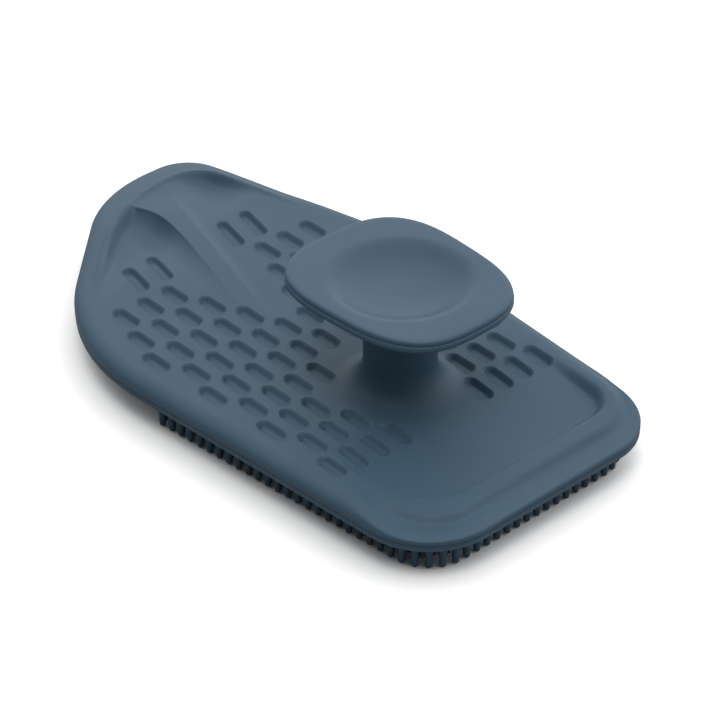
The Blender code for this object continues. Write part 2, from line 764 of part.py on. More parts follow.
def build_handle_post(material):
    """The hidden post: a spigot in the stiffener, a flange over it and a shaft up into the knob."""
    top = SOCKET_CEILING - CLEARANCE
    profile = (
        (POST_SPIGOT_RADIUS, STIFFENER_BOTTOM),
        (POST_SPIGOT_RADIUS, POST_FLANGE_BOTTOM),
        (POST_FLANGE_RADIUS, POST_FLANGE_BOTTOM),
        (POST_FLANGE_RADIUS, POST_FLANGE_TOP),
        (POST_RADIUS, POST_FLANGE_TOP),
        (POST_RADIUS, top - POST_CHAMFER),
        (POST_RADIUS - POST_CHAMFER, top),
    )
    bm = bmesh.new()
    rings = [add_loop(bm, circle(radius), height) for radius, height in profile]
    for lower, upper in zip(rings, rings[1:]):
        bridge(bm, lower, upper)
    bm.faces.new(rings[0])
    bm.faces.new(rings[-1])
    return add_piece("handle_post", bm, material)


def head_ring(bm, inset, height):
    """A ring of the knob head's rounded-square outline, which narrows toward the square end."""
    outer_x = HEAD_HALF_LENGTH - inset
    outer_y = HEAD_HALF_WIDTH - inset
    power = 2.0 / HEAD_SQUARENESS
    points = []
    for step in range(ROUND_SEGMENTS):
        angle = 2.0 * math.pi * step / ROUND_SEGMENTS
        cosine = math.cos(angle)
        sine = math.sin(angle)
        x = outer_x * math.copysign(abs(cosine) ** power, cosine)
        y = outer_y * math.copysign(abs(sine) ** power, sine) * (1.0 - HEAD_TAPER_SHARE * x / HEAD_HALF_LENGTH)
        squared = Vector((x, y))
        points.append(squared + Vector((STEM_X, STEM_Y)))
    return add_loop(bm, points, height)


def dish_height(radius):
    """Height of the dish's bowl, a shallow part of a sphere."""
    sphere = (DISH_RADIUS ** 2 + DISH_DEPTH ** 2) / (2.0 * DISH_DEPTH)
    return HEAD_TOP - DISH_DEPTH + sphere - math.sqrt(sphere ** 2 - radius ** 2)


def build_knob_head(material):
    """The knob: a rounded square with a thumb dish on top and a socket for the post below."""
    bm = bmesh.new()
    collar_radius = STEM_RADIUS + STEM_TOP_RADIUS_GAIN
    socket = POST_RADIUS + CLEARANCE
    rings = [
        add_loop(bm, circle(socket), SOCKET_CEILING),
        add_loop(bm, circle(socket), COLLAR_BOTTOM),
        add_loop(bm, circle(collar_radius), COLLAR_BOTTOM),
        add_loop(bm, circle(collar_radius + COLLAR_FILLET / 3), COLLAR_BOTTOM + COLLAR_FILLET * 2 / 3),
        add_loop(bm, circle(collar_radius + COLLAR_FILLET), COLLAR_BOTTOM + COLLAR_FILLET),
        head_ring(bm, HEAD_EDGE_ROUND + HEAD_RIM_ROUND, HEAD_BOTTOM),
        head_ring(bm, HEAD_EDGE_ROUND / 3, HEAD_BOTTOM + HEAD_EDGE_ROUND / 3),
        head_ring(bm, 0.0, HEAD_BOTTOM + HEAD_EDGE_ROUND),
        head_ring(bm, 0.0, HEAD_TOP - HEAD_RIM_ROUND),
        head_ring(bm, HEAD_RIM_ROUND / 3, HEAD_TOP - HEAD_RIM_ROUND / 3),
        head_ring(bm, HEAD_RIM_ROUND, HEAD_TOP),
        add_loop(bm, circle(DISH_RADIUS + DISH_LIP), HEAD_TOP),
    ]
    for share in DISH_RING_SHARES:
        radius = DISH_RADIUS * share
        rings.append(add_loop(bm, circle(radius), dish_height(radius)))
    for lower, upper in zip(rings, rings[1:]):
        bridge(bm, lower, upper)
    bm.faces.new(rings[0])
    bm.faces.new(rings[-1])
    return add_piece("knob_head", bm, material)


def spread_along(points, pitch):
    """Places at one even pitch along a closed line of points."""
    lengths = [(points[index] - points[index - 1]).length for index in range(len(points))]
    count = round(sum(lengths) / pitch)
    step = sum(lengths) / count
    places = []
    travelled = 0.0
    for index, length in enumerate(lengths):
        while len(places) * step < travelled + length and len(places) < count:
            share = (len(places) * step - travelled) / length
            places.append(points[index - 1].lerp(points[index], share))
        travelled += length
    return places


def bristle_places():
    """Bristle centres: one row round the field's edge and a staggered grid inside it."""
    corners = field_corners()
    places = spread_along(outline_points(corners), BRISTLE_PITCH)
    row_step = BRISTLE_INNER_PITCH * math.sqrt(3.0) / 2.0
    middle_x = (corners[0][0] + corners[1][0]) / 2
    columns = math.ceil((corners[0][0] - corners[1][0]) / BRISTLE_INNER_PITCH)
    rows = math.ceil((BACK_BEND_Y - FRONT_BEND_Y) / row_step)
    for row in range(-rows, rows + 1):
        for column in range(-columns, columns + 1):
            x = middle_x + (column + 0.5 * (row % 2)) * BRISTLE_INNER_PITCH
            y = row * row_step
            if inside_distance(corners, x, y) > BRISTLE_RING_GAP:
                places.append(Vector((x, y)))
    return places


def bristle_loop(bm, place, radius, height):
    """One cross-section of a bristle."""
    angles = [2.0 * math.pi * (side + 0.5) / BRISTLE_SIDES for side in range(BRISTLE_SIDES)]
    points = [place + Vector((math.cos(angle), math.sin(angle))) * radius for angle in angles]
    return add_loop(bm, points, height)


def build_bristle_mat(material):
    """The bottom moulding: a thin mat with every bristle grown out of its underside."""
    bm = bmesh.new()
    corners = plate_corners()
    top = add_loop(bm, outline_points(corners), MAT_TOP)
    fill_between(bm, top, [])
    side = add_loop(bm, outline_points(corners), MAT_BOTTOM + EDGE_ROUND)
    bridge(bm, top, side)
    bottom = add_loop(bm, outline_points(corners, EDGE_ROUND), MAT_BOTTOM)
    bridge(bm, side, bottom)
    roots = []
    for place in bristle_places():
        root = bristle_loop(bm, place, BRISTLE_BASE_RADIUS, MAT_BOTTOM)
        tip = bristle_loop(bm, place, BRISTLE_TIP_RADIUS, 0.0)
        bridge(bm, root, tip)
        bm.faces.new(tip)
        roots.append(root)
    fill_between(bm, bottom, roots)
    return add_piece("bristle_mat", bm, material)


def main():
    """Build every piece of the scrubber."""
    clear_scene()
    silicone = make_material("blue_grey_silicone", SILICONE_COLOUR, 0.5)
    nylon = make_material("natural_nylon", NYLON_COLOUR, 0.45)
    build_bristle_mat(silicone)
    build_stiffener_plate(nylon)
    build_handle_post(nylon)
    build_deck_skin(silicone)
    build_knob_head(silicone)


main()
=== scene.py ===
"""Studio view of a silicone hand scrubber.

A finely modelled deck, knob and bristle field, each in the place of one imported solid.
"""

import math

import bmesh
import bpy
import numpy as np
from mathutils import Matrix, Vector, geometry


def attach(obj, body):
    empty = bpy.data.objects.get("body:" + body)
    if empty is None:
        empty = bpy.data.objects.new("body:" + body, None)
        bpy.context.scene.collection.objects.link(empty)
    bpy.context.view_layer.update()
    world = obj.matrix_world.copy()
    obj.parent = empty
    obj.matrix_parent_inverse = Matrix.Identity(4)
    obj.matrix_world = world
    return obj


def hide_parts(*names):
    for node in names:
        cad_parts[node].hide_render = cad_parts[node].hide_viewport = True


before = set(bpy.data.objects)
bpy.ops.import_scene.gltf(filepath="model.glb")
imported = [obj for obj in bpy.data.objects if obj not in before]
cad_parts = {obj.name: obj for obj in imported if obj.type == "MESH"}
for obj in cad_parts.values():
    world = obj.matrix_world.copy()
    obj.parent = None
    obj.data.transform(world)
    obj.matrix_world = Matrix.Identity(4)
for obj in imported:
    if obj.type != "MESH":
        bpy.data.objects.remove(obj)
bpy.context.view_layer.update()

# Lengths are in millimetres, apart from those in names that end in _M, which are in metres.
# A rounded outline is its corners, anticlockwise, as x, y and radius.
# A RAMP is the length over which a form grows in, and a FADE that over which it runs out.
MM = 0.001

# How finely an outline is drawn
ARC_STEP = math.radians(2.5)
LEAST_ARC_PIECES = 3
SIDE_STEP = 0.7
LEAST_RADIUS = 0.3

# Plate: its outline and its levels, upward from the bristle tips
PLATE_END_X = 68.0
PLATE = (
    (PLATE_END_X, 30.9, 13.9),
    (-14.8, 37.2, 55.0),
    (-PLATE_END_X, 25.4, 9.1),
    (-PLATE_END_X, 2.1, 31.5),
    (-29.0, -37.8, 47.5),
    (PLATE_END_X, -30.9, 15.2),
)
MAT_BOTTOM = 6.2
MAT_TOP = 7.35
SKIN_BOTTOM = 7.4
EDGE_TOP = 8.2
DECK_TOP = 10.4
EDGE_ROUND = 3.2

# Square end: it grows in across a line that leans with y
SQUARE_END_X = 43.0
SQUARE_END_LEAN = 0.1
SQUARE_END_RAMP = 12.0

# Flange of the square end, higher toward the stem, with a faint groove along the foot of its rim
FLANGE_TOP = 8.6
FLANGE_ROUND = 0.55
FLANGE_SLOPE = 0.05
FLANGE_RISE = 0.9
FLANGE_RISE_X = 48.0
FLANGE_RISE_RAMP = 14.0
GROOVE_DEPTH = 0.08
GROOVE_OUTWARD = 0.5
GROOVE_WIDTH = 1.3

# Rim that stands inside the flange and sinks a little toward the end
RIM_FOOT = (
    (63.8, 30.3, 12.3),
    (30.0, 32.7, 2.0),
    (30.0, -28.0, 2.0),
    (63.8, -26.3, 9.8),
)
RIM_SLOPE = 1.9
RIM_FALL = 0.5
RIM_FALL_X = 46.0
RIM_FALL_RAMP = 16.0

# Sunken panel inside that rim, with a wider wall along the back
PANEL = (
    (59.4, 28.2, 7.6),
    (29.8, 29.8, 2.2),
    (29.8, -25.2, 2.2),
    (59.4, -25.2, 13.0),
)
PANEL_DEPTH = 2.3
PANEL_X = 32.0
PANEL_RAMP = 24.0
PANEL_WALL_AT_END = 1.8
PANEL_WALL_AT_BACK = 2.9
PANEL_BACK_Y = 4.0
PANEL_BACK_RAMP = 18.0
PANEL_WALL_POWER = 1.5

# Bowl of the nose, open toward the stem, with a low lip, and the nose's fall outside it
BOWL = (
    (-10.0, 34.2, 3.0),
    (-60.4, 23.0, 8.5),
    (-61.0, 1.5, 37.0),
    (-25.0, -35.2, 3.0),
    (-10.0, -35.2, 3.0),
)
BOWL_DEPTH = 1.9
BOWL_WALL = 2.5
BOWL_END_X = -37.0
BOWL_SKEW = 0.2
BOWL_RAMP = 13.0
BOWL_RAMP_BEHIND = 11.0
BOWL_LIP_RISE = 0.3
BOWL_LIP_WIDTH = 1.3
BOWL_LIP_END_X = -34.0
BOWL_LIP_RAMP = 8.0
NOSE_FALL = 0.19
NOSE_FALL_X = -30.0
NOSE_FALL_RAMP = 14.0

# Spine: a point of its fold at the nose, the fold's direction toward the stem, and its section
SPINE_START = (-57.5, 11.9)
SPINE_ANGLE = math.radians(-16.2)
SPINE_WIDTH = 4.0
SPINE_FLARE = 9.8
SPINE_FLARE_LENGTH = 5.0
SPINE_FLANK = 3.9
SPINE_RISE = 0.6
SPINE_RAMP = 12.0
SPINE_FADE_START = 18.0
SPINE_FADE = 44.0
CREASE = 0.6
FOLD_PLACE = -0.3
FOLD_WIDTH = 2.6
FOLD_DROP = 0.7

# Pocket beside the spine's front flank, along the spine and across it
POCKET_DEPTH = 0.9
POCKET_START = 3.5
POCKET_RAMP = 11.0
POCKET_FADE_START = 17.0
POCKET_FADE = 22.0
POCKET_MIDDLE = 4.4
POCKET_FAR_WALL = 6.0

# Lines of vertices along the spine: offsets from its front edge and its fold, and their spacing
CREASE_LINES = (0.0, 0.3, 0.6, 1.0)
FOLD_LINES = (0.0, 0.35)
LINE_REACH = 54.0
LINE_STEP = 0.3
LINE_CLEAR = 0.28

# Hidden core that the deck is hollow for: a plate, a well over it and a bore through the sleeve
CORE_CORNERS = ((43.0, 22.9, 8.0), (-28.0, 22.9, 8.0), (-28.0, -22.9, 8.0), (43.0, -22.9, 8.0))
CORE_CLEAR = 0.3
CORE_ARC_STEP = math.radians(10.0)
CORE_SIDE_STEP = 10.0
CORE_CEILING = 8.45
WELL_RADIUS = 9.3
WELL_CEILING = 10.0
BORE_RADIUS = 4.3

# Stem: its place, its flare down to the foot ring, and its sleeve upward as radius and height
STEM = (27.0, 0.5)
STEM_RADIUS = 7.1
STEM_FILLET = 6.2
FILLET_LIMIT = 0.999
STEM_TOP = 27.5
STEM_SIDES = 96
FOOT_RADIUS = 9.6
FLARE_RADII = (9.2, 8.8, 8.4, 8.05, 7.75, 7.5, 7.32, 7.2, 7.12)
SLEEVE_RINGS = (
    (7.1, 17.0), (7.1, 19.0), (7.13, 22.0), (7.2, 25.0), (7.35, STEM_TOP - 0.1), (7.25, STEM_TOP),
    (BORE_RADIUS, STEM_TOP),
)

# Dimples in staggered columns: first and last row of each column, counted in half pitches
DIMPLE_SIZE = (7.5, 3.3)
DIMPLE_DEPTH = 1.0
DIMPLE_ROWS = ((4, 10), (5, 9), (6, 10), (3, 9), (0, 10), (1, 9), (2, 10), (3, 9), (4, 8))
FIRST_COLUMN_X = 37.9
COLUMN_PITCH = 7.9
ROW_PITCH_AT_END = 5.3
ROW_PITCH_AT_NOSE = 6.2
DIMPLE_OFF_EDGE = 4.1
DIMPLE_OFF_STEM = 9.9

# Slots beside the spine, two on either side
SLOT_SIZE = (10.2, 2.9)
SLOT_CENTRE = (-35.3, 1.4)
SLOT_OFFS = (-15.5, -9.4, 9.4, 15.5)
SLOT_ANGLE = math.radians(-13.0)

# Section of dimples and slots: a low lip as distance outward and height, and below it a wall from a
# rounded rim to a rounded floor, as shares of its width and depth
DIMPLE_LIP_REACH = 0.28
DIMPLE_LIP = ((0.2, 0.03), (0.12, 0.07), (0.06, 0.065), (0.0, 0.03))
DIMPLE_WALL_SHARE = 0.38
DIMPLE_WALL = (
    (0.08, 0.02), (0.16, 0.08), (0.26, 0.20), (0.36, 0.35), (0.48, 0.53), (0.60, 0.71),
    (0.70, 0.85), (0.80, 0.94), (0.90, 0.985), (1.0, 1.0),
)
CAP_STEPS = 10
STRAIGHT_STEPS = 6

# Deck's edge: underside and side as inset and height, then insets of the rings on its rounded top,
# of which the outer ones get their normals from the faces
SKIN_INSET = 0.25
SKIN_EDGE = ((0.06, SKIN_BOTTOM + 0.05), (0.0, SKIN_BOTTOM + 0.16), (0.0, EDGE_TOP))
OUTER_INSETS = (0.03, 0.12, 0.28)
INNER_INSETS = (0.5, 0.78, 1.1, 1.45, 1.82, 2.2, 2.6, 3.0)

# Staggered grid on the open deck; how far it stays clear of other points is in shares of its pitch
GRID_PITCH = 0.65
GRID_ROW_SHARE = 0.866
GRID_HALF_WIDTH = 45.0
GRID_COLUMNS = 110
CLEAR_OF_EDGE = 0.55
CLEAR_OF_STEM = 0.5
CLEAR_OF_DIMPLES = 0.4

# Meshing: distance over which a slope is measured, and what filling and shading go by
SLOPE_STEP = 0.02
FILL_TOLERANCE = 1.0e-5
FILL_INSIDE = 1
SHARP_ANGLE = math.radians(50.0)
NEAR_NORMAL = 0.5

# Knob: a rounded square that narrows toward the square end
KNOB_SIDES = 192
KNOB_POWER = 2.95
KNOB_HALF_LENGTH = 20.9
KNOB_HALF_WIDTH = 17.3
KNOB_TAPER = 0.06
HEAD_BOTTOM = 31.3
HEAD_TOP = 34.1

# Knob's rings upward: socket and collar as radius and height, underside as share of a circle, its
# radius, the outline's inset and height, and side with the parting line as inset and height
COLLAR_RINGS = (
    (BORE_RADIUS, 30.4), (BORE_RADIUS, STEM_TOP + 0.1), (7.25, STEM_TOP + 0.1),
    (7.42, STEM_TOP + 0.25), (7.65, 28.3), (8.1, 29.0), (8.8, 29.5), (9.7, 29.85),
)
UNDERSIDE_RINGS = ((0.75, 11.0, 2.0, 30.15), (0.4, 13.0, 2.0, 30.6))
SIDE_RINGS = (
    (2.4, 31.1), (1.2, HEAD_BOTTOM + 0.02), (0.6, HEAD_BOTTOM + 0.16), (0.2, HEAD_BOTTOM + 0.45),
    (0.02, HEAD_BOTTOM + 0.8), (0.0, HEAD_TOP - 1.22), (0.05, HEAD_TOP - 1.12),
    (0.22, HEAD_TOP - 1.06), (0.24, HEAD_TOP - 0.98), (0.16, HEAD_TOP - 0.86),
    (0.14, HEAD_TOP - 0.5), (0.22, HEAD_TOP - 0.24), (0.42, HEAD_TOP - 0.07), (0.75, HEAD_TOP),
)

# Rim as the underside's rings, and thumb dish as radius and depth below the rim, eased into it
RIM_RINGS = ((0.1, 18.0, 1.6, HEAD_TOP), (0.5, 16.5, 2.2, HEAD_TOP), (0.85, 15.6, 2.2, HEAD_TOP))
DISH = (
    (14.9, 0.0), (14.3, 0.02), (13.8, 0.11), (13.2, 0.31), (12.5, 0.64), (11.6, 1.13), (10.6, 1.62),
    (9.4, 2.05), (8.0, 2.37), (6.2, 2.62), (4.2, 2.79), (2.2, 2.88), (0.35, 2.90),
)

# Mat's edge downward as inset and height, with the parting line below the deck
MAT_INSET = 0.1
MAT_EDGE = (
    (0.0, MAT_TOP - 0.05), (0.0, MAT_TOP - 0.14), (0.08, MAT_TOP - 0.24), (0.1, MAT_BOTTOM + 0.35),
    (0.04, MAT_BOTTOM + 0.22), (0.05, MAT_BOTTOM + 0.1), (0.16, MAT_BOTTOM + 0.02),
    (0.32, MAT_BOTTOM),
)

# Bristles: one row round the field's outline and a staggered grid inside it
FIELD = (
    (63.9, 26.6, 9.0),
    (-5.3, 33.2, 1.0),
    (-5.3, -32.8, 1.0),
    (63.9, -26.6, 9.0),
)
EDGE_ROW_PITCH = 2.57
FIELD_ROWS = 20
FIELD_COLUMNS = 30
FIELD_ROW_STEP = 2.42
FIELD_PITCH = 2.62
FIELD_MIDDLE_X = 29.3
FIELD_CLEAR = 2.15

# A bristle's section from its root in the mat down: radius and height above the tip
BRISTLE_SECTION = (
    (1.02, 6.2), (0.9, 6.02), (0.85, 5.75), (0.77, 3.4), (0.70, 1.0), (0.66, 0.5), (0.54, 0.19),
    (0.33, 0.04),
)
BRISTLE_SIDES = 12

# Materials: base colours, roughness, and the mottle and grain that all of them share
SILICONE_BASE = (0.050, 0.096, 0.141)
SILICONE_ROUGHNESS = 0.46
# The knob is the same silicone as the deck; its base is painted a little lighter as painted sheen,
# for its top's brighter look, while its lower roughness is its real finish
KNOB_BASE = (0.053, 0.100, 0.148)
KNOB_ROUGHNESS = 0.40
NYLON_BASE = (0.52, 0.53, 0.54)
NYLON_ROUGHNESS = 0.5
SHEEN = {"IOR": 1.41, "Specular IOR Level": 0.3}
MOTTLE = 0.06
MOTTLE_NOISE = {"Scale": 45.0, "Detail": 4.0, "Roughness": 0.55}
MOTTLE_STOPS = (0.3, 0.7)
GRAIN_NOISE = {"Scale": 4200.0, "Detail": 3.0, "Roughness": 0.6}
GRAIN_RELIEF = {"Strength": 0.35, "Distance": 0.02 * MM}
GLOSS_SPREAD = 0.04

# Camera, as fitted to the photograph
CAMERA_PLACE_M = (0.33427, -0.28928, 0.31224)
CAMERA_RIGHT = (0.67288, 0.73975, 0.0)
CAMERA_UP = (-0.42515, 0.38672, 0.81835)
CAMERA_LENS = 136.7
CAMERA_SENSOR = 36.0
CAMERA_NEAR_M = 0.01
CAMERA_FAR_M = 20.0

# Floor, with the colour that the camera sees and the one that other rays meet
FLOOR_RADIUS_M = 6.0
FLOOR_LEVEL_M = -0.0002
FLOOR_SIDES = 96
FLOOR_SURFACE = {"Roughness": 0.9, "Specular IOR Level": 0.0}
FLOOR_SEEN = (1.2, 1.2, 1.2, 1.0)
FLOOR_LIT = (0.45, 0.45, 0.45, 1.0)

# Dome of light: where its middle lies, the cosines at which it is dark and full, and both levels
DOME_TOWARD = (-0.173, 0.646, 0.743)
DOME_LIGHT = {"From Min": -0.05, "From Max": 0.8, "To Min": 0.1, "To Max": 1.35}
DOME_SEEN = (1.0, 1.0, 1.0, 1.0)

# Lamps aimed at the origin: name, place and width in metres, and watts
LAMPS_M = (
    ("left_softbox", (-0.726, -0.690, 0.661), 0.35, 0.6),
    ("front_softbox", (0.29, -0.344, 1.11), 0.5, 3.2),
)

# Sockets of a Mix node that mixes colours
MIX_FACTOR, MIX_LIT, MIX_SEEN, MIX_RESULT = 0, 6, 7, 2


def ease(value):
    """Ease from 0 to 1 with level ends."""
    value = np.clip(value, 0.0, 1.0)
    return value * value * (3.0 - 2.0 * value)


def hill(value):
    """A smooth hill: 1 at zero, 0 from one half width outward."""
    return 0.5 + 0.5 * np.cos(np.pi * np.clip(np.abs(value), 0.0, 1.0))


def fall_away(value):
    """A slope that starts at a crease and runs out level: 0 below zero, 1 from one upward."""
    return 1.0 - (1.0 - np.clip(value, 0.0, 1.0)) ** 2


def edge_share(edge, radius):
    """A rounded edge: its share of full height, 0 at the outline and 1 from one radius inward."""
    return np.sqrt(1.0 - np.clip(1.0 - edge / radius, 0.0, 1.0) ** 2)


def outward_normals(corners):
    """Unit normals of an outline's sides, each side from its corner to the next."""
    normals = []
    for index, corner in enumerate(corners):
        following = corners[(index + 1) % len(corners)]
        along = np.array(following[:2]) - np.array(corner[:2])
        along = along / np.linalg.norm(along)
        normals.append(np.array((along[1], -along[0])))
    return normals


def corner_arcs(corners, inset=0.0):
    """Centre, radius, first angle and turn of each corner's arc, with the outline moved inward."""
    normals = outward_normals(corners)
    arcs = []
    for index, (x, y, radius) in enumerate(corners):
        before, after = normals[index - 1], normals[index]
        middle = (before + after) / np.linalg.norm(before + after)
        reach = middle @ after
        place = np.array((x, y)) - middle * (inset / reach)
        radius = max(radius - inset, LEAST_RADIUS)
        centre = place - middle * (radius / reach)
        first = math.atan2(before[1], before[0])
        turn = math.acos(np.clip(before @ after, -1.0, 1.0))
        arcs.append((centre, radius, first, turn))
    return arcs


def outline(corners, inset=0.0, arc_step=ARC_STEP, side_step=SIDE_STEP):
    """Points round an outline, with the same count for every inset."""
    plain = corner_arcs(corners)
    moved = corner_arcs(corners, inset)
    normals = outward_normals(corners)
    points = []
    for index in range(len(corners)):
        centre, radius, first, turn = moved[index]
        pieces = max(LEAST_ARC_PIECES, math.ceil(turn / arc_step))
        for step in range(pieces + 1):
            angle = first + turn * step / pieces
            points.append(centre + radius * np.array((math.cos(angle), math.sin(angle))))
        following = (index + 1) % len(corners)
        start = plain[index][0] + normals[index] * plain[index][1]
        end = plain[following][0] + normals[index] * plain[following][1]
        count = max(1, round(float(np.linalg.norm(end - start)) / side_step))
        last = moved[following][0] + normals[index] * moved[following][1]
        begin = points[-1]
        for piece in range(1, count):
            points.append(begin + (last - begin) * piece / count)
    return np.array(points)


def inside_distance(corners, x, y):
    """How far points lie inside a rounded outline; negative outside."""
    nearest = np.full(np.shape(x), np.inf)
    for corner, normal in zip(corners, outward_normals(corners)):
        depth = (corner[0] - x) * normal[0] + (corner[1] - y) * normal[1]
        nearest = np.minimum(nearest, depth)
    for centre, radius, first, turn in corner_arcs(corners):
        out_x, out_y = x - centre[0], y - centre[1]
        angle = np.mod(np.arctan2(out_y, out_x) - first, 2.0 * np.pi)
        depth = radius - np.hypot(out_x, out_y)
        nearest = np.where(angle < turn, np.minimum(nearest, depth), nearest)
    return nearest


def spine_places(x, y):
    """Distance along the spine's fold and distance from it toward the back edge."""
    cosine, sine = math.cos(SPINE_ANGLE), math.sin(SPINE_ANGLE)
    off_x, off_y = x - SPINE_START[0], y - SPINE_START[1]
    return off_x * cosine + off_y * sine, off_y * cosine - off_x * sine


def spine_edge(along):
    """How far the spine's front edge lies from its fold."""
    return SPINE_WIDTH + SPINE_FLARE * np.exp(-np.maximum(along, 0.0) / SPINE_FLARE_LENGTH)


def spine_lines():
    """Points along the spine's front edge and its fold, so that no face crosses them."""
    along = np.arange(0.0, LINE_REACH, LINE_STEP)
    across = [-spine_edge(along) - line for line in CREASE_LINES]
    across += [np.full(len(along), FOLD_PLACE + line) for line in FOLD_LINES]
    cosine, sine = math.cos(SPINE_ANGLE), math.sin(SPINE_ANGLE)
    along, across = np.tile(along, len(across)), np.concatenate(across)
    return np.column_stack((SPINE_START[0] + along * cosine - across * sine,
                            SPINE_START[1] + along * sine + across * cosine))


def off_spine_lines(x, y):
    """True for the points that aren't too near a line of the spine."""
    along, across = spine_places(x, y)
    beyond = (along < 0.0) | (along > LINE_REACH)
    gaps = [np.abs(-across - spine_edge(along) - line) for line in CREASE_LINES]
    gaps += [np.abs(across - FOLD_PLACE - line) for line in FOLD_LINES]
    return beyond | (np.min(gaps, axis=0) > LINE_CLEAR)


def bowl_and_spine(x, y):
    """The nose's bowl with the spine that crosses it and the pocket along its front flank."""
    along, across = spine_places(x, y)
    flank = -across - spine_edge(along)
    wall = fall_away(flank / SPINE_FLANK) * ease(flank / CREASE)
    behind = across - FOLD_PLACE
    rise = ease(along / SPINE_RAMP) * (1.0 - ease((along - SPINE_FADE_START) / SPINE_FADE))
    fold = SPINE_RISE * rise * (1.0 - wall) - FOLD_DROP * rise * fall_away(behind / FOLD_WIDTH)
    sunk = np.maximum(wall, ease(behind / BOWL_RAMP_BEHIND))
    depth = ease((along - POCKET_START) / POCKET_RAMP)
    depth = depth * (1.0 - ease((along - POCKET_FADE_START) / POCKET_FADE))
    pocket = POCKET_DEPTH * depth * wall * (1.0 - ease((flank - POCKET_MIDDLE) / POCKET_FAR_WALL))
    inside = inside_distance(BOWL, x, y)
    reach = ease((BOWL_END_X - BOWL_SKEW * y - x) / BOWL_RAMP)
    bowl = BOWL_DEPTH * ease(inside / BOWL_WALL) * reach * sunk
    lip_share = ease((BOWL_LIP_END_X - x) / BOWL_LIP_RAMP)
    lip = BOWL_LIP_RISE * hill(inside / BOWL_LIP_WIDTH) * lip_share
    fall = NOSE_FALL * np.maximum(-inside, 0.0) * ease((NOSE_FALL_X - x) / NOSE_FALL_RAMP)
    return fold - bowl - pocket + lip - fall


def panel_share(x, y):
    """From 0 on the panel's edge to 1 on its floor, over a wall that is wider along the back."""
    back = ease((y - PANEL_BACK_Y) / PANEL_BACK_RAMP)
    wall = PANEL_WALL_AT_END + (PANEL_WALL_AT_BACK - PANEL_WALL_AT_END) * back
    return ease(inside_distance(PANEL, x, y) / wall) ** PANEL_WALL_POWER


def panel(x, y):
    """The sunken panel, deeper toward the square end."""
    return -PANEL_DEPTH * panel_share(x, y) * ease((x - PANEL_X) / PANEL_RAMP)


def stem_flare(x, y):
    """How far the stem's flare lifts the deck round it."""
    reach = STEM_RADIUS + STEM_FILLET - np.hypot(x - STEM[0], y - STEM[1])
    reach = np.clip(reach, 0.0, STEM_FILLET * FILLET_LIMIT)
    return STEM_FILLET - np.sqrt(STEM_FILLET ** 2 - reach ** 2)


def square_end(x, y, top, edge):
    """Height at the square end: a low flange round a rim that sinks a little toward the end."""
    inside = inside_distance(RIM_FOOT, x, y)
    groove = GROOVE_DEPTH * hill((inside + GROOVE_OUTWARD) / GROOVE_WIDTH)
    flange = FLANGE_TOP + FLANGE_SLOPE * edge - groove
    flange = flange + FLANGE_RISE * (1.0 - ease((x - FLANGE_RISE_X) / FLANGE_RISE_RAMP))
    flange = EDGE_TOP + (flange - EDGE_TOP) * edge_share(edge, FLANGE_ROUND)
    fall = ease((x - RIM_FALL_X) / RIM_FALL_RAMP)
    rim = top - RIM_FALL * fall * (1.0 - panel_share(x, y))
    return flange + (rim - flange) * ease(inside / RIM_SLOPE)


def deck_height(x, y):
    """Height of the deck's top surface with its rounded edge and flange, but without dimples."""
    edge = inside_distance(PLATE, x, y)
    top = DECK_TOP + bowl_and_spine(x, y) + panel(x, y) + stem_flare(x, y)
    side = EDGE_TOP + (top - EDGE_TOP) * edge_share(edge, EDGE_ROUND)
    share = ease((x + SQUARE_END_LEAN * y - SQUARE_END_X) / SQUARE_END_RAMP)
    return side + (square_end(x, y, top, edge) - side) * share


def deck_normals(x, y):
    """Upward normals of the deck's surface."""
    step = SLOPE_STEP
    slope_x = (deck_height(x + step, y) - deck_height(x - step, y)) / (2.0 * step)
    slope_y = (deck_height(x, y + step) - deck_height(x, y - step)) / (2.0 * step)
    normals = np.stack((-slope_x, -slope_y, np.ones_like(slope_x)), axis=-1)
    return normals / np.linalg.norm(normals, axis=-1, keepdims=True)


